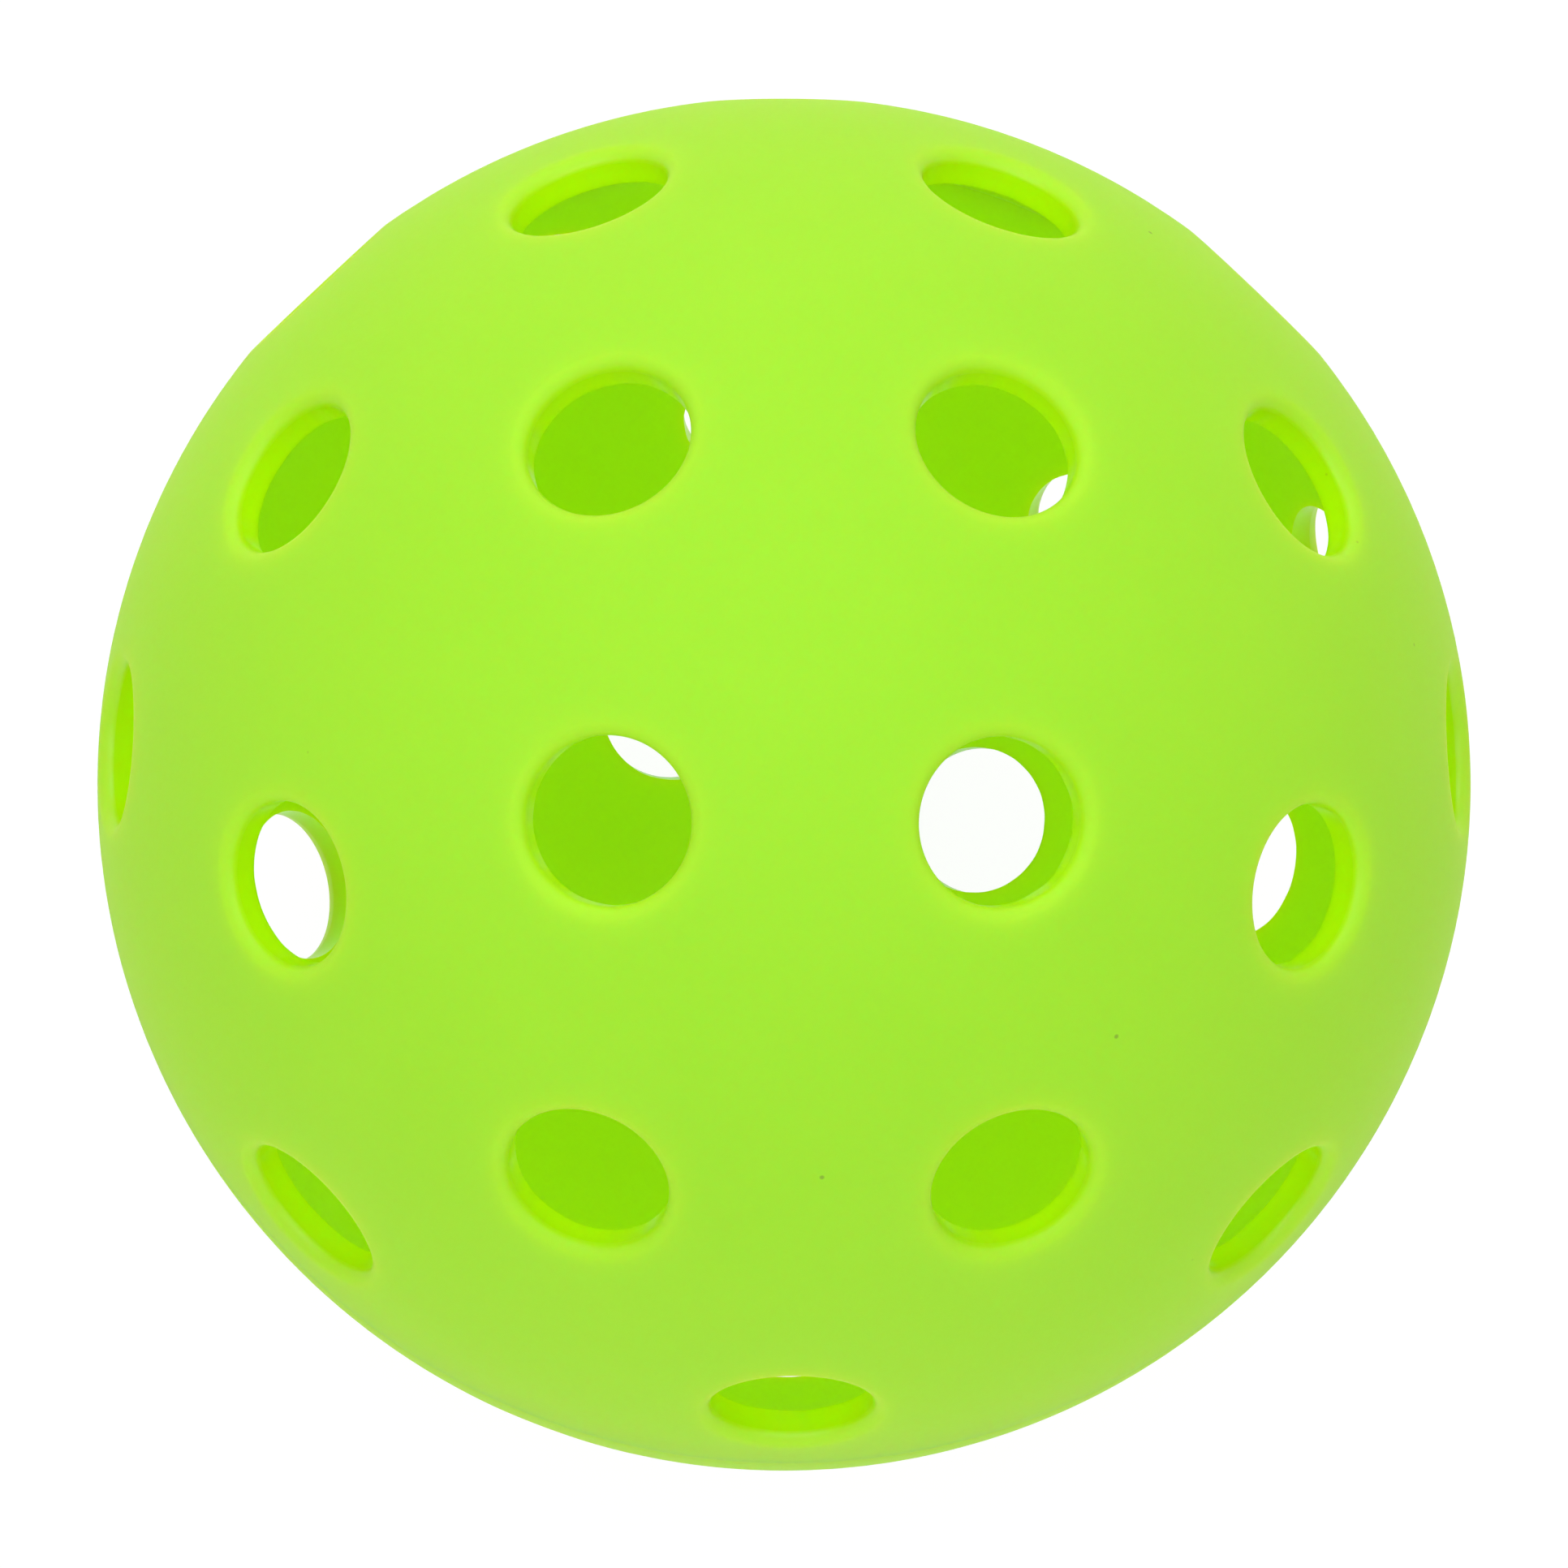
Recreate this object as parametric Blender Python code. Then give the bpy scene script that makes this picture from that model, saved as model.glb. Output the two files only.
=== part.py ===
"""A pickleball: two moulded half shells full of round holes, joined at the equator by a weld ring.

Metres, +Z up along the moulding axis, origin at the centre of the ball, joint plane at Z = 0.
Each half is modelled pole up with its open edge in the XY plane. The lower half is then turned over.
"""

from collections import namedtuple
from math import acos, asin, cos, pi, radians, sin, sqrt

import bmesh
import bpy
from mathutils import Matrix

MM = 0.001

HoleRing = namedtuple("HoleRing", "count from_pole first_hole")

# Ball
BALL_DIAMETER = 74.0 * MM
WALL_THICKNESS = 1.95 * MM

# Holes: rings about the pole, with the first hole's angle measured from +X
HOLE_DIAMETER = 8.5 * MM
HOLE_RIM_RADIUS = 0.7 * MM
POLE_RING = HoleRing(4, radians(22.4), radians(45.0))
MIDDLE_RING = HoleRing(8, radians(50.5), radians(22.5))
EQUATOR_RING = HoleRing(8, radians(76.0), radians(0.0))
LOWER_HALF_TURN = radians(-20.9)

# Joint: the lower half's tongue stands inside the upper half's lip, under the weld ring on its shelf
TONGUE_LENGTH = 1.2 * MM
TONGUE_THICKNESS = 0.75 * MM
WELD_HEIGHT = 1.0 * MM
WELD_BULGE = 0.5 * MM
JOINT_CLEARANCE = 0.3 * MM

# Facets
SHELL_SEGMENTS = 48
SHELL_RINGS = 12
HOLE_SEGMENTS = 16
RIM_STEPS = 3
WELD_STEPS = 5
RIM_CREASE = radians(20.0)
CUTTER_OVERRUN = 1.0 * MM
MERGE_DISTANCE = 0.001 * MM
SHARP_ANGLE = radians(35.0)

# Finish: lime-green polyethylene, and the same plastic where it has melted
SHELL_COLOUR = (0.40, 0.84, 0.06, 1.0)
WELD_COLOUR = (0.34, 0.76, 0.04, 1.0)
SHELL_ROUGHNESS = 0.55
WELD_ROUGHNESS = 0.40

# Sizes that follow from the ones above
OUTER_RADIUS = BALL_DIAMETER / 2
INNER_RADIUS = OUTER_RADIUS - WALL_THICKNESS
HOLE_RADIUS = HOLE_DIAMETER / 2
TONGUE_RADIUS = INNER_RADIUS + TONGUE_THICKNESS
LIP_RADIUS = TONGUE_RADIUS + JOINT_CLEARANCE
SHELF_DEPTH = TONGUE_LENGTH + WELD_HEIGHT + 2 * JOINT_CLEARANCE
EDGE_HEIGHT = JOINT_CLEARANCE / 2


def clear_scene():
    for obj in list(bpy.data.objects):
        bpy.data.objects.remove(obj, do_unlink=True)


def arc(radius, start, end, steps, centre=(0.0, 0.0)):
    """Points (x, z) along an arc about a centre, with angles measured from +X towards +Z."""
    angles = [start + (end - start) * step / steps for step in range(steps + 1)]
    return [(centre[0] + radius * cos(angle), centre[1] + radius * sin(angle)) for angle in angles]


def turn_profile(mesh_data, profile, segments, closed=False, place=Matrix.Identity(4)):
    """Turns (x, z) points once about Z, adds the closed surface to the mesh data and places it."""
    verts = [mesh_data.verts.new((x, 0.0, z)) for x, z in profile]
    pairs = list(zip(verts, verts[1:]))
    if closed:
        pairs.append((verts[-1], verts[0]))
    edges = [mesh_data.edges.new(pair) for pair in pairs]
    before = set(mesh_data.verts) - set(verts)
    bmesh.ops.spin(
        mesh_data,
        geom=verts + edges,
        cent=(0.0, 0.0, 0.0),
        axis=(0.0, 0.0, 1.0),
        angle=2 * pi,
        steps=segments,
    )
    made = [vert for vert in mesh_data.verts if vert not in before]
    bmesh.ops.remove_doubles(mesh_data, verts=made, dist=MERGE_DISTANCE)
    made = [vert for vert in mesh_data.verts if vert not in before]
    bmesh.ops.transform(mesh_data, matrix=place, verts=made)


def mesh_object(name, mesh_data):
    """Makes a smooth-shaded object from the mesh data, with its faces pointing out."""
    bmesh.ops.recalc_face_normals(mesh_data, faces=mesh_data.faces[:])
    mesh = bpy.data.meshes.new(name)
    mesh_data.to_mesh(mesh)
    mesh_data.free()
    mesh.shade_smooth()
    mesh.set_sharp_from_angle(angle=SHARP_ANGLE)
    obj = bpy.data.objects.new(name, mesh)
    bpy.context.scene.collection.objects.link(obj)
    return obj


def plastic(name, colour, roughness):
    material = bpy.data.materials.new(name)
    material.use_nodes = True
    shader = material.node_tree.nodes["Principled BSDF"]
    shader.inputs["Base Color"].default_value = colour
    shader.inputs["Roughness"].default_value = roughness
    shader.inputs["Metallic"].default_value = 0.0
    return material


def lower_half_profile():
    """Outer side from the pole to the open edge, round the tongue, and up the inner side to the pole."""
    edge_angle = asin(EDGE_HEIGHT / OUTER_RADIUS)
    outer = arc(OUTER_RADIUS, pi / 2, edge_angle, SHELL_RINGS)
    tongue = [
        (TONGUE_RADIUS, EDGE_HEIGHT),
        (TONGUE_RADIUS, -TONGUE_LENGTH),
        (INNER_RADIUS, -TONGUE_LENGTH),
    ]
    inner = arc(INNER_RADIUS, 0.0, pi / 2, SHELL_RINGS)
    return outer + tongue + inner


def upper_half_profile():
    """The same, with the lip and the shelf that take the other half's tongue and the weld."""
    edge_angle = asin(EDGE_HEIGHT / OUTER_RADIUS)
    shelf_angle = asin(SHELF_DEPTH / INNER_RADIUS)
    outer = arc(OUTER_RADIUS, pi / 2, edge_angle, SHELL_RINGS)
    lip = [(LIP_RADIUS, EDGE_HEIGHT), (LIP_RADIUS, SHELF_DEPTH)]
    inner = arc(INNER_RADIUS, shelf_angle, pi / 2, SHELL_RINGS)
    return outer + lip + inner


def hole_profile():
    """Half section of one hole along its own axis: straight through the wall, flaring over a rounded rim."""
    flare_radius = HOLE_RADIUS + HOLE_RIM_RADIUS
    to_rim_centre = OUTER_RADIUS - HOLE_RIM_RADIUS
    rim_height = sqrt(to_rim_centre**2 - flare_radius**2)
    bottom = sqrt(INNER_RADIUS**2 - HOLE_RADIUS**2) - CUTTER_OVERRUN
    top = OUTER_RADIUS + CUTTER_OVERRUN
    flare_end = acos(flare_radius / to_rim_centre) + RIM_CREASE
    flare = arc(HOLE_RIM_RADIUS, pi, flare_end, RIM_STEPS, centre=(flare_radius, rim_height))
    last_x, last_z = flare[-1]
    run_out = (last_x + CUTTER_OVERRUN * sin(flare_end), last_z - CUTTER_OVERRUN * cos(flare_end))
    return [(0.0, bottom), (HOLE_RADIUS, bottom), *flare, run_out, (run_out[0], top), (0.0, top)]


def hole_places():
    """One matrix for each hole of a half shell, taking +Z to the hole's axis."""
    for ring in (POLE_RING, MIDDLE_RING, EQUATOR_RING):
        for index in range(ring.count):
            around = ring.first_hole + 2 * pi * index / ring.count
            yield Matrix.Rotation(around, 4, "Z") @ Matrix.Rotation(ring.from_pole, 4, "Y")


def hole_cutter(name):
    mesh_data = bmesh.new()
    for place in hole_places():
        turn_profile(mesh_data, hole_profile(), HOLE_SEGMENTS, place=place)
    cutter = mesh_object(name, mesh_data)
    cutter.hide_render = True
    cutter.display_type = "WIRE"
    return cutter


def half_shell(name, profile, material):
    mesh_data = bmesh.new()
    turn_profile(mesh_data, profile, SHELL_SEGMENTS)
    shell = mesh_object(name, mesh_data)
    shell.data.materials.append(material)
    cutter = hole_cutter(name + "_hole_cutter")
    cutter.parent = shell
    holes = shell.modifiers.new("holes", "BOOLEAN")
    holes.operation = "DIFFERENCE"
    holes.solver = "EXACT"
    holes.object = cutter
    return shell


def weld_ring(name, material):
    """Ring of melted plastic over the tongue, flat against the joint and bulging into the hollow."""
    outer = LIP_RADIUS - JOINT_CLEARANCE
    bottom = TONGUE_LENGTH + JOINT_CLEARANCE
    middle = bottom + WELD_HEIGHT / 2
    bulge = [
        (INNER_RADIUS + WELD_BULGE * x, middle + WELD_HEIGHT / 2 * z)
        for x, z in arc(1.0, -pi / 2, -3 * pi / 2, WELD_STEPS)
    ]
    profile = [(outer, bottom + WELD_HEIGHT), (outer, bottom), *bulge]
    mesh_data = bmesh.new()
    turn_profile(mesh_data, profile, SHELL_SEGMENTS, closed=True)
    ring = mesh_object(name, mesh_data)
    ring.data.materials.append(material)
    return ring


def build():
    clear_scene()
    ball = bpy.data.objects.new("pickleball", None)
    bpy.context.scene.collection.objects.link(ball)

    upper_plastic = plastic("upper_shell_plastic", SHELL_COLOUR, SHELL_ROUGHNESS)
    lower_plastic = plastic("lower_shell_plastic", SHELL_COLOUR, SHELL_ROUGHNESS)
    weld_plastic = plastic("weld_plastic", WELD_COLOUR, WELD_ROUGHNESS)

    upper = half_shell("upper_half_shell", upper_half_profile(), upper_plastic)
    lower = half_shell("lower_half_shell", lower_half_profile(), lower_plastic)
    lower.rotation_euler = (pi, 0.0, LOWER_HALF_TURN)
    weld = weld_ring("weld_ring", weld_plastic)
    for piece in (upper, lower, weld):
        piece.parent = ball


build()
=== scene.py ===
"""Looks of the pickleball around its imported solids: two fine half shells, the weld, floor, light and camera.

Metres, in the solids' own frame: origin at the centre of the ball, +Z through the pole of the upper half.
Each half shell is modelled pole up with its open edge in the XY plane. The lower one is then turned over.
"""

from collections import namedtuple
from math import acos, cos, pi, radians, sin, sqrt

import bmesh
import bpy
import numpy as np
from mathutils import Matrix, Quaternion, Vector
from mathutils.geometry import delaunay_2d_cdt


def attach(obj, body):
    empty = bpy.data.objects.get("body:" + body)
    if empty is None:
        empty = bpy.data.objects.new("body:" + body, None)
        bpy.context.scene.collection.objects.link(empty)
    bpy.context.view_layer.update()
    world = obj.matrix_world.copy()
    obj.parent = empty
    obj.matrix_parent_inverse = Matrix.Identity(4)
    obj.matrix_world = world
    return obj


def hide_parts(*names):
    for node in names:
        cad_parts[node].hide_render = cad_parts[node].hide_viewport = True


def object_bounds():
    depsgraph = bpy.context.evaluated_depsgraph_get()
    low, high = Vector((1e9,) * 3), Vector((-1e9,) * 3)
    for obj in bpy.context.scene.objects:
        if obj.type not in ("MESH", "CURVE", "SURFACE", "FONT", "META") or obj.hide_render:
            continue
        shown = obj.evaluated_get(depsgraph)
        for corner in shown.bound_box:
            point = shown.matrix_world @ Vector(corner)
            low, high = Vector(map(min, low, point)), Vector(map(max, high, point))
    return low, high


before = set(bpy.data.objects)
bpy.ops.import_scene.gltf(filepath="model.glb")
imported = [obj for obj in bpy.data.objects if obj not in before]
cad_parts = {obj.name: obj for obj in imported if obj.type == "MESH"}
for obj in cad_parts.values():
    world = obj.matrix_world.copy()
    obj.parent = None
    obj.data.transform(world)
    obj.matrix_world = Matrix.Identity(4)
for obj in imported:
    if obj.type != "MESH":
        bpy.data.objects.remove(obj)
CAD_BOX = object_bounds()

MM = 0.001
HoleRing = namedtuple("HoleRing", "count from_pole first_hole")
Nick = namedtuple("Nick", "hole angle depth width")
Finish = namedtuple("Finish", "colour deep_colour roughness light_depth gloss")
Noise = namedtuple("Noise", "scale detail roughness")
Softbox = namedtuple("Softbox", "name azimuth elevation power")

# Ball and holes, as in the solids: rings about the pole, with the first hole's angle measured from +X
OUTER_RADIUS = (CAD_BOX[1].x - CAD_BOX[0].x) / 2
WALL_THICKNESS = 1.95 * MM
HOLE_RADIUS = 4.25 * MM
HOLE_RIM_RADIUS = 0.7 * MM
HOLE_RINGS = (
    HoleRing(4, radians(22.4), radians(45.0)),
    HoleRing(8, radians(50.5), radians(22.5)),
    HoleRing(8, radians(76.0), radians(0.0)),
)
LOWER_HALF_TURN = radians(-20.9)

# Joint: a fine groove outside, a tongue behind a lip inside, and a bead of melted plastic over the tongue
GROOVE_RADIUS = 0.03 * MM
JOINT_GAP = 0.02 * MM
TONGUE_LENGTH = 1.2 * MM
TONGUE_THICKNESS = 0.75 * MM
SHELF_DEPTH = 2.8 * MM
BEAD_BULGE = 0.45 * MM
BEAD_WAVE = 0.1 * MM
BEAD_WAVES = (2, 5, 9, 16, 27, 44)

# Ragged inner edges of the holes. Angles on an edge start at its point nearest the joint, and a negative
# depth leaves a burr in place of a nick.
EDGE_WAVE = 0.012 * MM
EDGE_WAVES = (3, 5, 8, 13, 21)
SMALL_NICK_DEPTH = (0.03 * MM, 0.09 * MM)
SMALL_NICK_WIDTH = (0.2 * MM, 0.6 * MM)
MOST_SMALL_NICKS = 2
NICK_SQUARENESS = 4
UPPER_NICKS = (
    Nick(18, radians(12.0), 0.15 * MM, 1.1 * MM),
    Nick(3, radians(37.0), 0.09 * MM, 0.3 * MM),
)
LOWER_NICKS = (
    Nick(5, radians(0.0), -0.25 * MM, 2.6 * MM),
)

# Mesh: two rings of points stand round each hole, the first turned by half a step. The rest are spread
# evenly, clear of those rings and of the open edge by a share of their spacing.
HOLE_POINTS = 96
RIM_STEPS = 6
WALL_STEPS = 4
GROOVE_STEPS = 3
JOINT_POINTS = 384
BEAD_POINTS = 12
FIRST_HALO = 0.5 * MM
SECOND_HALO = 2.3 * FIRST_HALO
HALF_STEP = 0.5
OUTER_SPACING = 1.1 * MM
INNER_SPACING = 1.6 * MM
CLEAR_SHARE = 0.7
FLAT_TOLERANCE = 1e-9
TRIANGLES_WITH_HULL = 0
SHARP_ANGLE = radians(40.0)
SEED = 40

# Finish: lime-green polyethylene, paler outside, deeper in colour and with painted glow in the holes, duller
# on their walls
OUTER_FINISH = Finish(
    colour=(0.372, 0.770, 0.015),
    deep_colour=(0.362, 0.760, 0.013),
    roughness=0.78,
    light_depth=(5.0 * MM, 2.0 * MM, 0.5 * MM),
    gloss=0.5,
)
# Inner skin: the same green painted much brighter than the outer skin, as painted light for the lit hollow
INNER_FINISH = Finish(
    colour=(0.79, 0.993, 0.0005),
    deep_colour=(0.78, 0.991, 0.0003),
    roughness=0.6,
    light_depth=(1.5 * MM, 1.5 * MM, 0.3 * MM),
    gloss=0.5,
)
# The bead takes the inner skin's painted brightness
BEAD_FINISH = INNER_FINISH._replace(deep_colour=(0.77, 0.989, 0.0003), roughness=0.4)
HOLE_FINISH = OUTER_FINISH._replace(gloss=0.15)
# Hole rim and wall colours: the plastic's green painted brighter towards the inner edge, as painted glow for
# light through the thin wall
HOLE_RIM_COLOUR = (0.43, 0.79, 0.001)
HOLE_WALL_COLOUR = (0.59, 0.94, 0.0005)
HOLE_ROUGHNESS = 0.3
SKIN_FADE = (0.05 * MM, 0.8 * MM)
IOR = 1.5
LIGHT_BOUNCES = 24

# Small marks: a cloudy colour, a fine grain and a few dark specks, with scales per metre
MOTTLE = Noise(90.0, 3.0, 0.6)
MOTTLE_RANGE = (0.3, 0.7)
GRAIN = Noise(2200.0, 4.0, 0.65)
GRAIN_ROUGHNESS = 0.06
GRAIN_STRENGTH = 0.15
GRAIN_HEIGHT = 0.05 * MM
SPECK_SCALE = 170.0
SPECK_EDGE = (0.014, 0.026)
SPECK_STRENGTH = 0.55
SPECK_COLOUR = (0.14, 0.25, 0.02, 1.0)

# Light, with lengths in metres and the power of the lamps in watts
FLOOR_HALF_WIDTH = 3.0
FLOOR_GLOW = 0.95
FLOOR_SHADE = 0.08
FLOOR_PAINT = 0.85
WORLD_LIGHT = 0.47
SOFTBOX_DISTANCE = 0.8
SOFTBOX_SIZE = 0.7
SOFTBOXES = (
    Softbox("left", radians(-70.0), radians(64.0), 2.05),
    Softbox("right", radians(67.0), radians(66.0), 1.5),
    Softbox("top", radians(181.0), radians(43.0), 2.3),
    Softbox("front", radians(0.0), radians(5.0), 1.25),
)

# Camera, with its lens and sensor in millimetres
CAMERA_AZIMUTH = radians(-7.36)
CAMERA_ELEVATION = radians(76.71)
CAMERA_ROLL = radians(7.31)
CAMERA_DISTANCE = 418.2 * MM
CAMERA_LENS = 177.5
CAMERA_SENSOR = 36.0

# Sizes that follow from the ones above, material numbers and plain values
INNER_RADIUS = OUTER_RADIUS - WALL_THICKNESS
TONGUE_RADIUS = INNER_RADIUS + TONGUE_THICKNESS
LIP_RADIUS = TONGUE_RADIUS + JOINT_GAP
OUTER_SKIN, INNER_SKIN, HOLE_SKIN = range(3)
BEAD_SKIN = 0
WHITE = (1.0, 1.0, 1.0, 1.0)
FULL_RANGE = (0.0, 1.0)


class MeshParts:
    """Points and faces of one mesh as it grows, with a material number for each face."""

    def __init__(self):
        self.points = []
        self.faces = []
        self.materials = []

    def add_points(self, points):
        first = len(self.points)
        self.points.extend(map(tuple, points))
        return list(range(first, len(self.points)))

    def add_faces(self, faces, material):
        self.faces.extend(faces)
        self.materials.extend([material] * len(faces))

    def join_rings(self, one, other, material):
        """Four-sided faces between two closed rings of as many points."""
        pairs = list(zip(one, other))
        nexts = pairs[1:] + pairs[:1]
        self.add_faces([(a, c, d, b) for (a, b), (c, d) in zip(pairs, nexts)], material)

    def add_band(self, last, points, material):
        """Adds a ring of points, joins it to the last ring and returns its point numbers."""
        ring = self.add_points(points)
        self.join_rings(last, ring, material)
        return ring

    def make_object(self, name, materials, place=Matrix.Identity(4)):
        mesh = bpy.data.meshes.new(name)
        mesh.from_pydata(self.points, [], self.faces)
        mesh.polygons.foreach_set("material_index", self.materials)
        mesh.transform(place)
        mesh_data = bmesh.new()
        mesh_data.from_mesh(mesh)
        bmesh.ops.recalc_face_normals(mesh_data, faces=mesh_data.faces[:])
        mesh_data.to_mesh(mesh)
        mesh_data.free()
        mesh.shade_smooth()
        mesh.set_sharp_from_angle(angle=SHARP_ANGLE)
        for material in materials:
            mesh.materials.append(material)
        obj = bpy.data.objects.new(name, mesh)
        bpy.context.scene.collection.objects.link(obj)
        return obj


def hole_frames():
    """For each hole of a half shell, three directions: towards the joint, across that, and its axis."""
    for ring in HOLE_RINGS:
        for index in range(ring.count):
            around = ring.first_hole + 2 * pi * index / ring.count
            turn = Matrix.Rotation(around, 3, "Z") @ Matrix.Rotation(ring.from_pole, 3, "Y")
            yield np.array(turn.transposed())


def ring_angles(count, shift=0.0):
    return 2 * pi * (np.arange(count) + shift) / count


def circle(hole, radius, height, angles):
    """Points about a hole's axis. Radius and height are one value, or one for each point."""
    across = np.outer(np.cos(angles) * radius, hole[0])
    along = np.outer(np.sin(angles) * radius, hole[1])
    return across + along + np.outer(np.ones(len(angles)) * height, hole[2])


def sphere_circle(hole, sphere_radius, radius, angles):
    return circle(hole, radius, np.sqrt(sphere_radius**2 - np.square(radius)), angles)


def level_ring(radius, height):
    """A ring of points about the ball's axis. Its radius is one value, or one for each point."""
    angles = ring_angles(JOINT_POINTS)
    heights = np.full(JOINT_POINTS, height)
    return np.column_stack((np.cos(angles) * radius, np.sin(angles) * radius, heights))


def spread_points(radius, spacing, lowest):
    """Points spread evenly over a sphere, above a height, along a spiral with golden-angle steps."""
    area_per_point = spacing**2 * sqrt(3) / 2
    count = int(4 * pi * radius**2 / area_per_point)
    steps = np.arange(count)
    height = 1 - (2 * steps + 1) / count
    around = steps * pi * (3 - sqrt(5))
    level = np.sqrt(1 - height**2)
    points = radius * np.column_stack((level * np.cos(around), level * np.sin(around), height))
    return points[points[:, 2] > lowest]


def triangulate(points, holes, edge):
    """Triangles between points on a half sphere, pole up, that keep the rims and leave the holes open.

    Seen from the opposite pole, the half sphere becomes a flat disc on which circles stay circles.
    """
    unit = points / np.linalg.norm(points, axis=1)[:, None]
    flat = unit[:, :2] / (1 + unit[:, 2:])
    kept_edges = [pair for loop in (*holes, edge) for pair in zip(loop, loop[1:] + loop[:1])]
    _, _, triangles, sources, *_ = delaunay_2d_cdt(
        [Vector(point) for point in flat.tolist()], kept_edges, [], TRIANGLES_WITH_HULL, FLAT_TOLERANCE
    )
    first_ids = [ids[0] for ids in sources]
    triangles = [tuple(first_ids[corner] for corner in triangle) for triangle in triangles]
    hole_of = np.full(len(points), -1)
    for number, loop in enumerate(holes):
        hole_of[loop] = number
    return [
        (a, b, c)
        for a, b, c in triangles
        if hole_of[a] < 0 or not hole_of[a] == hole_of[b] == hole_of[c]
    ]


def add_skin(parts, radius, rims, edge_height, spacing, material):
    """Adds a perforated half sphere and returns the point numbers of its rims and of its open edge."""
    level = sqrt(radius**2 - edge_height**2)
    rim_size = len(rims[0])
    groups = [*rims, level_ring(level, edge_height)]
    halos = (
        (FIRST_HALO, ring_angles(rim_size, HALF_STEP)),
        (SECOND_HALO, ring_angles(rim_size // 2)),
    )
    fill = spread_points(radius, spacing, edge_height + CLEAR_SHARE * spacing)
    for hole, rim in zip(hole_frames(), rims):
        rim_radius = np.linalg.norm(rim - np.outer(rim @ hole[2], hole[2]), axis=1).max()
        for step, angles in halos:
            groups.append(sphere_circle(hole, radius, rim_radius + step, angles))
        keep_out = rim_radius + SECOND_HALO + CLEAR_SHARE * spacing
        fill = fill[fill @ hole[2] < sqrt(radius**2 - keep_out**2)]
    groups.append(fill)
    loops = [parts.add_points(group) for group in groups]
    first = loops[0][0]
    holes = [[number - first for number in loop] for loop in loops[: len(rims)]]
    edge = [number - first for number in loops[len(rims)]]
    triangles = triangulate(np.vstack(groups), holes, edge)
    parts.add_faces([tuple(corner + first for corner in triangle) for triangle in triangles], material)
    return loops[: len(rims)], loops[len(rims)]


def wavy(random, angles, size, wave_counts):
    """A sum of sine waves round a ring, smaller the shorter they are."""
    total = np.zeros(len(angles))
    for count in wave_counts:
        height = size * random.normal() / sqrt(count / wave_counts[0])
        total += height * np.sin(count * angles + random.uniform(0, 2 * pi))
    return total


def ragged_edge(random, angles, nicks):
    """How far a hole's inner edge strays from round: gentle waves, small nicks and the given ones."""
    stray = wavy(random, angles, EDGE_WAVE, EDGE_WAVES)
    small = [
        Nick(
            hole=None,
            angle=random.uniform(0, 2 * pi),
            depth=random.uniform(*SMALL_NICK_DEPTH),
            width=random.uniform(*SMALL_NICK_WIDTH),
        )
        for _ in range(random.integers(0, MOST_SMALL_NICKS + 1))
    ]
    for nick in (*small, *nicks):
        away = np.angle(np.exp(1j * (angles - nick.angle)))
        stray += nick.depth * np.exp(-((2 * away * HOLE_RADIUS / nick.width) ** NICK_SQUARENESS))
    return stray


def rim_section():
    """Points (radius, height) down a hole's rounded rim, from the ball's surface to the straight wall."""
    centre_radius = HOLE_RADIUS + HOLE_RIM_RADIUS
    to_centre = OUTER_RADIUS - HOLE_RIM_RADIUS
    centre_height = sqrt(to_centre**2 - centre_radius**2)
    start = acos(centre_radius / to_centre)
    angles = np.linspace(start, pi, RIM_STEPS + 1)
    return [
        (centre_radius + HOLE_RIM_RADIUS * cos(angle), centre_height + HOLE_RIM_RADIUS * sin(angle))
        for angle in angles
    ]


def add_hole(parts, hole, rim, edge, outer_loop, inner_loop):
    """Adds a hole's rounded rim, and its wall, which takes on the ragged shape of the inner edge."""
    angles = ring_angles(HOLE_POINTS)
    last = outer_loop
    for radius, height in rim[1:]:
        last = parts.add_band(last, circle(hole, radius, height, angles), OUTER_SKIN)
    top = rim[-1][1]
    bottom = np.sqrt(INNER_RADIUS**2 - edge**2)
    for step in range(1, WALL_STEPS):
        share = step / WALL_STEPS
        radius = HOLE_RADIUS + (edge - HOLE_RADIUS) * share**2
        height = top + (bottom - top) * share
        last = parts.add_band(last, circle(hole, radius, height, angles), HOLE_SKIN)
    parts.join_rings(last, inner_loop, HOLE_SKIN)


def half_shell(name, joint_section, inner_edge_height, nicks, materials, random, place=Matrix.Identity(4)):
    """One closed half shell. The joint section is (radius, height) points from outer to inner edge."""
    parts = MeshParts()
    holes = list(hole_frames())
    angles = ring_angles(HOLE_POINTS)
    rim = rim_section()
    inner_edges = [
        HOLE_RADIUS + ragged_edge(random, angles, [nick for nick in nicks if nick.hole == number])
        for number in range(len(holes))
    ]
    outer_rims = [circle(hole, *rim[0], angles) for hole in holes]
    inner_rims = [sphere_circle(hole, INNER_RADIUS, edge, angles) for hole, edge in zip(holes, inner_edges)]

    outer_edge_height = joint_section[0][1]
    outer_loops, outer_edge = add_skin(
        parts, OUTER_RADIUS, outer_rims, outer_edge_height, OUTER_SPACING, OUTER_SKIN
    )
    inner_loops, inner_edge = add_skin(
        parts, INNER_RADIUS, inner_rims, inner_edge_height, INNER_SPACING, INNER_SKIN
    )
    for hole, edge, outer_loop, inner_loop in zip(holes, inner_edges, outer_loops, inner_loops):
        add_hole(parts, hole, rim, edge, outer_loop, inner_loop)

    last = outer_edge
    for step, (radius, height) in enumerate(joint_section[1:]):
        skin = OUTER_SKIN if step < GROOVE_STEPS else INNER_SKIN
        last = parts.add_band(last, level_ring(radius, height), skin)
    parts.join_rings(last, inner_edge, INNER_SKIN)
    return parts.make_object(name, materials, place)


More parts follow.
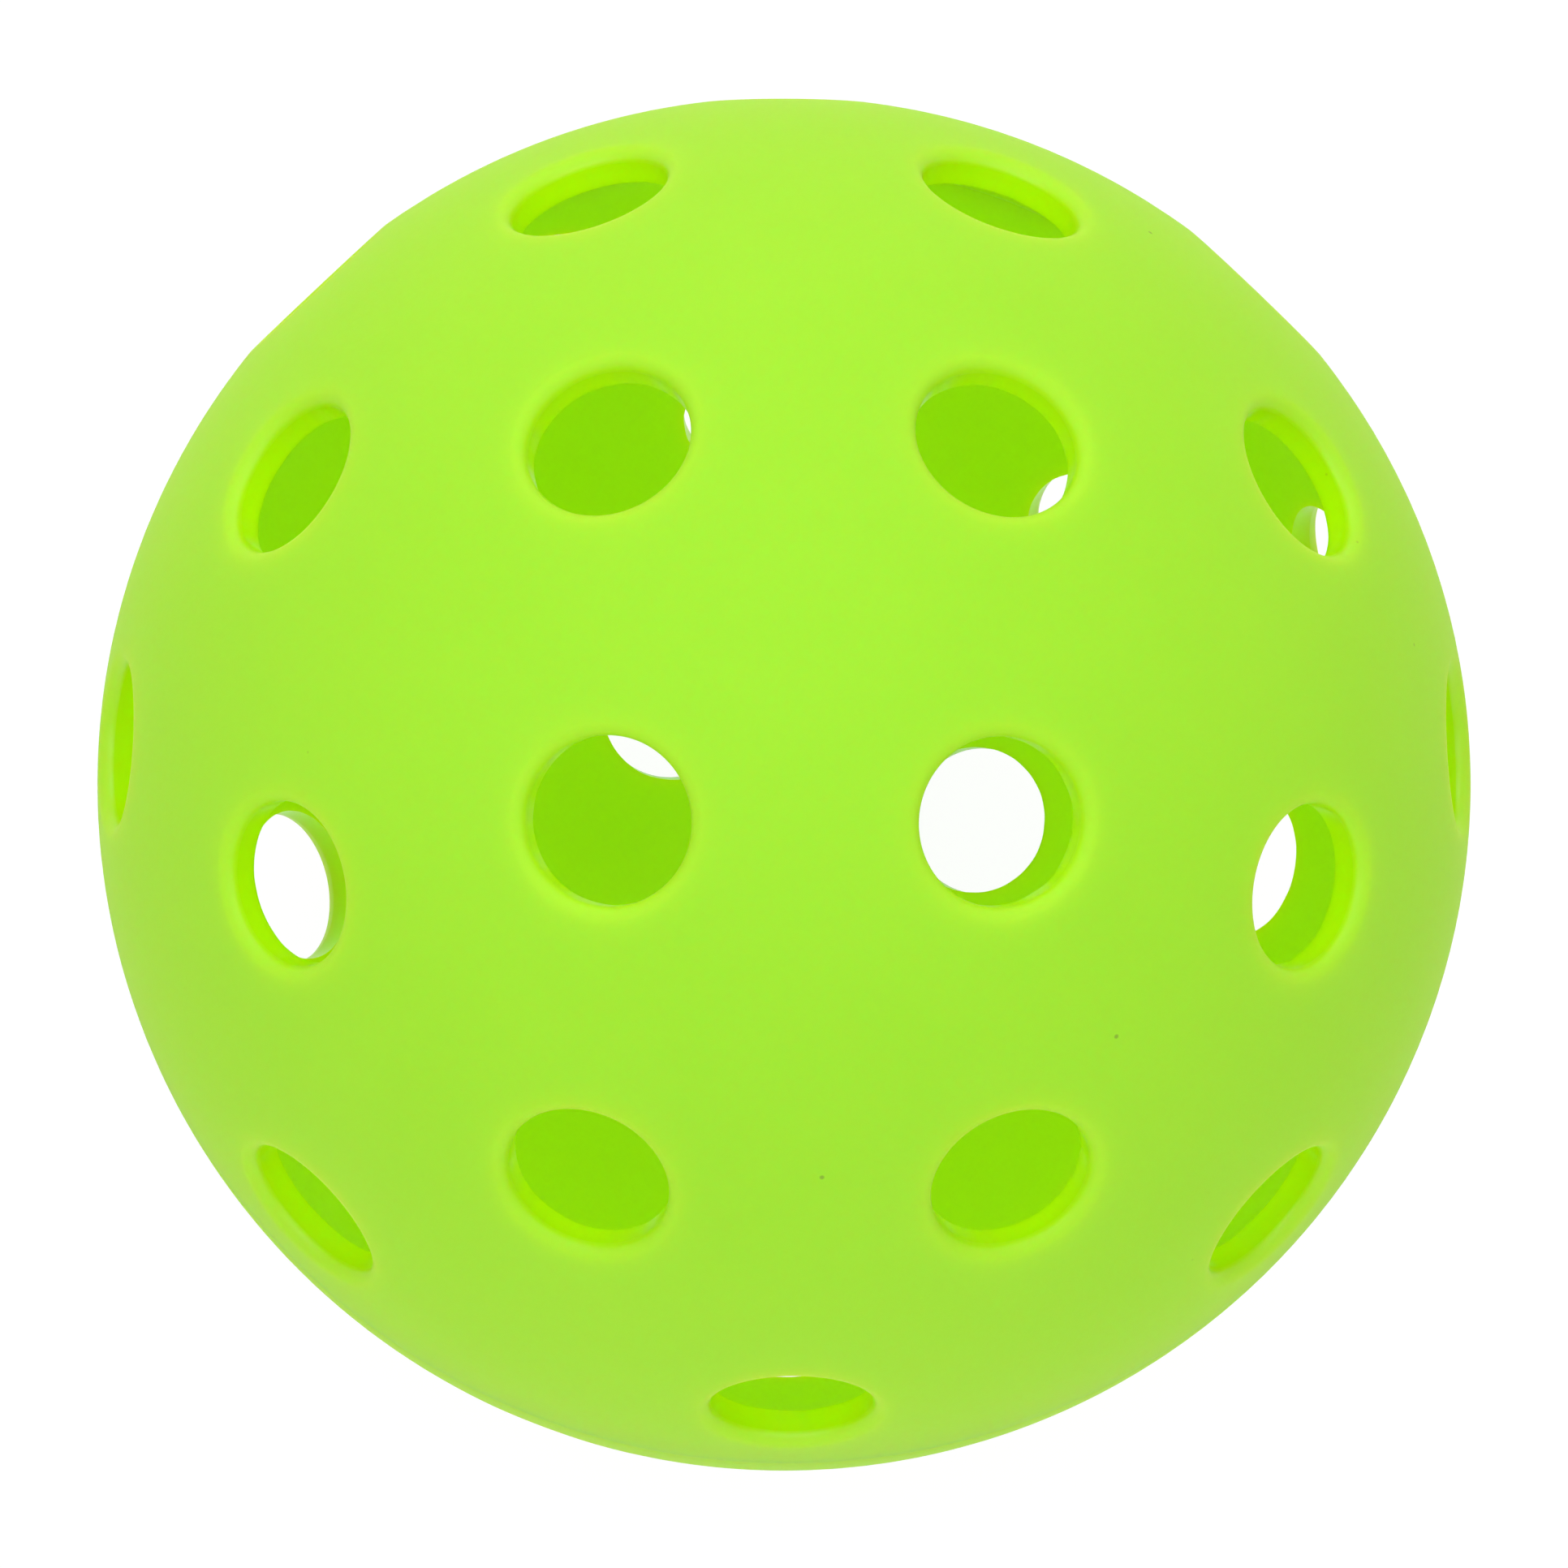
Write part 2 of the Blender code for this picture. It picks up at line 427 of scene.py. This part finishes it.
def groove_section():
    """Points (radius, height) round the outer edge of a half shell, down to the joint plane."""
    height = JOINT_GAP / 2 + GROOVE_RADIUS
    level = sqrt(OUTER_RADIUS**2 - height**2)
    angles = np.linspace(0, -pi / 2, GROOVE_STEPS + 1)
    return [
        (level - GROOVE_RADIUS + GROOVE_RADIUS * cos(angle), height + GROOVE_RADIUS * sin(angle))
        for angle in angles
    ]


def lower_joint():
    return groove_section() + [
        (TONGUE_RADIUS, JOINT_GAP / 2),
        (TONGUE_RADIUS, -TONGUE_LENGTH),
        (INNER_RADIUS, -TONGUE_LENGTH),
    ]


def upper_joint():
    return groove_section() + [(LIP_RADIUS, JOINT_GAP / 2), (LIP_RADIUS, SHELF_DEPTH)]


def weld_bead(name, material, random):
    """Bead of melted plastic over the tongue: flat against the joint, bulging unevenly into the hollow."""
    bottom = TONGUE_LENGTH + JOINT_GAP
    top = SHELF_DEPTH - JOINT_GAP
    middle = (top + bottom) / 2
    half_height = (top - bottom) / 2
    bulge = BEAD_BULGE + wavy(random, ring_angles(JOINT_POINTS), BEAD_WAVE, BEAD_WAVES)
    bulge = np.clip(bulge, BEAD_WAVE, 2 * BEAD_BULGE)
    sections = [(TONGUE_RADIUS, top), (TONGUE_RADIUS, bottom)]
    for angle in np.linspace(-pi / 2, -3 * pi / 2, BEAD_POINTS):
        sections.append((INNER_RADIUS + bulge * cos(angle), middle + half_height * sin(angle)))
    parts = MeshParts()
    rings = [parts.add_points(level_ring(radius, height)) for radius, height in sections]
    for one, other in zip(rings, rings[1:] + rings[:1]):
        parts.join_rings(one, other, BEAD_SKIN)
    return parts.make_object(name, [material])


def add_node(tree, kind, **settings):
    node = tree.nodes.new(kind)
    for key, value in settings.items():
        setattr(node, key, value)
    return node


def set_inputs(node, **values):
    for key, value in values.items():
        node.inputs[key.replace("_", " ")].default_value = value


def add_noise(tree, place, noise):
    node = add_node(tree, "ShaderNodeTexNoise")
    set_inputs(node, Scale=noise.scale, Detail=noise.detail, Roughness=noise.roughness)
    tree.links.new(place, node.inputs["Vector"])
    return node.outputs["Fac"]


def map_range(tree, value, from_range, to_range, interpolation="LINEAR"):
    """A node that takes one range of a value to another, and holds at the ends."""
    node = add_node(tree, "ShaderNodeMapRange", interpolation_type=interpolation)
    set_inputs(node, From_Min=from_range[0], From_Max=from_range[1], To_Min=to_range[0], To_Max=to_range[1])
    tree.links.new(value, node.inputs["Value"])
    return node.outputs["Result"]


def mix_colour(tree, share, one, other):
    node = add_node(tree, "ShaderNodeMix", data_type="RGBA")
    tree.links.new(share, node.inputs["Factor"])
    tree.links.new(one, node.inputs["A"])
    tree.links.new(other, node.inputs["B"])
    return node.outputs["Result"]


def ramp(tree, value, positions, colours):
    """A colour that goes from one to another as the value rises from the first position to the second."""
    node = add_node(tree, "ShaderNodeValToRGB")
    for element, position, colour in zip(node.color_ramp.elements, positions, colours):
        element.position = position
        element.color = (*colour, 1.0)
    tree.links.new(value, node.inputs["Fac"])
    return node.outputs["Color"]


def add_hole_finish(tree, place, skin_colour, skin_roughness):
    """Colour and roughness that go from the skin's, over the holes' rims, to those of the holes' walls,
    painted brighter deep down as painted glow.
    """
    from_centre = add_node(tree, "ShaderNodeVectorMath", operation="LENGTH")
    tree.links.new(place, from_centre.inputs[0])
    radius = from_centre.outputs["Value"]
    skin_start, skin_end = [OUTER_RADIUS - depth for depth in SKIN_FADE]
    up_the_wall = map_range(tree, radius, (INNER_RADIUS, skin_end), FULL_RANGE)
    # Painted glow: brightest deep in the hole, fading up the wall to the rim
    walls = ramp(tree, up_the_wall, FULL_RANGE, (HOLE_WALL_COLOUR, HOLE_RIM_COLOUR))
    on_the_skin = map_range(tree, radius, (skin_end, skin_start), FULL_RANGE, "SMOOTHSTEP")
    rougher = add_node(tree, "ShaderNodeMix")
    tree.links.new(on_the_skin, rougher.inputs["Factor"])
    set_inputs(rougher, A=HOLE_ROUGHNESS)
    tree.links.new(skin_roughness, rougher.inputs["B"])
    return mix_colour(tree, on_the_skin, walls, skin_colour), rougher.outputs["Result"]


def add_specks(tree, place, colour):
    """The colour with a few small dark specks."""
    specks = add_node(tree, "ShaderNodeTexVoronoi")
    set_inputs(specks, Scale=SPECK_SCALE)
    tree.links.new(place, specks.inputs["Vector"])
    in_speck = map_range(tree, specks.outputs["Distance"], SPECK_EDGE, (SPECK_STRENGTH, 0.0))
    speckled = add_node(tree, "ShaderNodeMix", data_type="RGBA")
    set_inputs(speckled, B=SPECK_COLOUR)
    tree.links.new(in_speck, speckled.inputs["Factor"])
    tree.links.new(colour, speckled.inputs["A"])
    return speckled.outputs["Result"]


def plastic(name, finish, has_holes=False):
    """Polyethylene that light goes a little way into, with a fine moulded grain and a few dark specks."""
    material = bpy.data.materials.new(name)
    material.use_nodes = True
    tree = material.node_tree
    shader = tree.nodes["Principled BSDF"]
    shader.subsurface_method = "RANDOM_WALK"
    set_inputs(
        shader,
        Subsurface_Weight=1.0,
        Subsurface_Radius=finish.light_depth,
        Subsurface_Scale=1.0,
        IOR=IOR,
        Specular_IOR_Level=finish.gloss,
    )
    place = add_node(tree, "ShaderNodeTexCoord").outputs["Object"]
    mottle = add_noise(tree, place, MOTTLE)
    colour = ramp(tree, mottle, MOTTLE_RANGE, (finish.deep_colour, finish.colour))
    grain = add_noise(tree, place, GRAIN)
    roughness_range = (finish.roughness - GRAIN_ROUGHNESS, finish.roughness + GRAIN_ROUGHNESS)
    roughness = map_range(tree, grain, FULL_RANGE, roughness_range)
    if has_holes:
        # Hole rims and walls get their painted glow here
        colour, roughness = add_hole_finish(tree, place, colour, roughness)
    tree.links.new(add_specks(tree, place, colour), shader.inputs["Base Color"])
    tree.links.new(roughness, shader.inputs["Roughness"])

    bump = add_node(tree, "ShaderNodeBump")
    set_inputs(bump, Strength=GRAIN_STRENGTH, Distance=GRAIN_HEIGHT)
    tree.links.new(grain, bump.inputs["Height"])
    tree.links.new(bump.outputs["Normal"], shader.inputs["Normal"])
    return material


def shown_to_camera(tree):
    """A value of 1 for rays from the camera, and for reflections and what is seen through clear things."""
    path = add_node(tree, "ShaderNodeLightPath")
    value = path.outputs["Is Camera Ray"]
    for kind in ("Is Glossy Ray", "Is Transmission Ray"):
        either = add_node(tree, "ShaderNodeMath", operation="MAXIMUM")
        tree.links.new(value, either.inputs[0])
        tree.links.new(path.outputs[kind], either.inputs[1])
        value = either.outputs[0]
    return value


def add_paint(tree, level):
    """Plain grey paint that reflects a share of the light."""
    node = add_node(tree, "ShaderNodeBsdfDiffuse")
    set_inputs(node, Color=(level, level, level, 1.0))
    return node.outputs[0]


def floor_paint(name):
    """Pale floor, white with a faint shadow to the camera, that lights the ball as plain pale paint."""
    material = bpy.data.materials.new(name)
    material.use_nodes = True
    material.cycles.emission_sampling = "NONE"
    tree = material.node_tree
    tree.nodes.remove(tree.nodes["Principled BSDF"])
    glow = add_node(tree, "ShaderNodeEmission")
    set_inputs(glow, Color=WHITE, Strength=FLOOR_GLOW)
    white = add_node(tree, "ShaderNodeAddShader")
    tree.links.new(glow.outputs[0], white.inputs[0])
    tree.links.new(add_paint(tree, FLOOR_SHADE), white.inputs[1])
    mix = add_node(tree, "ShaderNodeMixShader")
    tree.links.new(shown_to_camera(tree), mix.inputs["Fac"])
    tree.links.new(add_paint(tree, FLOOR_PAINT), mix.inputs[1])
    tree.links.new(white.outputs[0], mix.inputs[2])
    tree.links.new(mix.outputs[0], tree.nodes["Material Output"].inputs["Surface"])
    return material


def add_floor():
    half = FLOOR_HALF_WIDTH
    corners = [(x, y, -OUTER_RADIUS) for x, y in ((-half, -half), (half, -half), (half, half), (-half, half))]
    mesh = bpy.data.meshes.new("floor")
    mesh.from_pydata(corners, [], [(0, 1, 2, 3)])
    mesh.materials.append(floor_paint("floor_paint"))
    floor = bpy.data.objects.new("floor", mesh)
    bpy.context.scene.collection.objects.link(floor)


def add_world():
    """Even white surroundings that fill the shadows."""
    world = bpy.data.worlds.new("studio")
    bpy.context.scene.world = world
    world.use_nodes = True
    set_inputs(world.node_tree.nodes["Background"], Color=WHITE, Strength=WORLD_LIGHT)


def direction(azimuth, elevation):
    """From the ball, with azimuth 0 at -Y and 90 degrees at +X."""
    level = cos(elevation)
    return Vector((sin(azimuth) * level, -cos(azimuth) * level, sin(elevation)))


def place_facing_ball(obj, towards, distance, roll=0.0):
    obj.location = towards * distance
    obj.rotation_mode = "QUATERNION"
    obj.rotation_quaternion = towards.to_track_quat("Z", "Y") @ Quaternion((0.0, 0.0, 1.0), roll)
    bpy.context.scene.collection.objects.link(obj)


def add_softboxes():
    for box in SOFTBOXES:
        lamp = bpy.data.lights.new(box.name, "AREA")
        lamp.shape = "DISK"
        lamp.size = SOFTBOX_SIZE
        lamp.energy = box.power
        softbox = bpy.data.objects.new("softbox_" + box.name, lamp)
        place_facing_ball(softbox, direction(box.azimuth, box.elevation), SOFTBOX_DISTANCE)


def add_camera():
    camera_data = bpy.data.cameras.new("camera")
    camera_data.sensor_width = CAMERA_SENSOR
    camera_data.lens = CAMERA_LENS
    camera = bpy.data.objects.new("camera", camera_data)
    place_facing_ball(camera, direction(CAMERA_AZIMUTH, CAMERA_ELEVATION), CAMERA_DISTANCE, CAMERA_ROLL)
    bpy.context.scene.camera = camera


def main():
    random = np.random.default_rng(SEED)
    skin = plastic("moulded_skin", OUTER_FINISH, has_holes=True)
    # Inner skin and bead are painted brighter than the outer skin: painted light in the hollow
    inside = plastic("inner_skin_painted_bright", INNER_FINISH)
    melted = plastic("melted_bead_painted_bright", BEAD_FINISH)
    cut = plastic("cut_wall", HOLE_FINISH, has_holes=True)
    materials = [skin, inside, cut]

    upper = half_shell("upper_half", upper_joint(), SHELF_DEPTH, UPPER_NICKS, materials, random)
    turn = Matrix.Rotation(LOWER_HALF_TURN, 4, "Z") @ Matrix.Rotation(pi, 4, "X")
    lower = half_shell("lower_half", lower_joint(), JOINT_GAP, LOWER_NICKS, materials, random, turn)
    bead = weld_bead("weld_bead", melted, random)
    stand_ins = (
        (upper, "upper_half_shell", "shell"),
        (lower, "lower_half_shell", "shell"),
        (bead, "weld_ring", "weld"),
    )
    for piece, node, slot in stand_ins:
        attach(piece, "root")
        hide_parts(node)

    add_floor()
    add_world()
    add_softboxes()
    add_camera()
    scene = bpy.context.scene
    scene.cycles.diffuse_bounces = LIGHT_BOUNCES
    scene.cycles.max_bounces = LIGHT_BOUNCES
    scene.view_settings.view_transform = "Standard"


main()
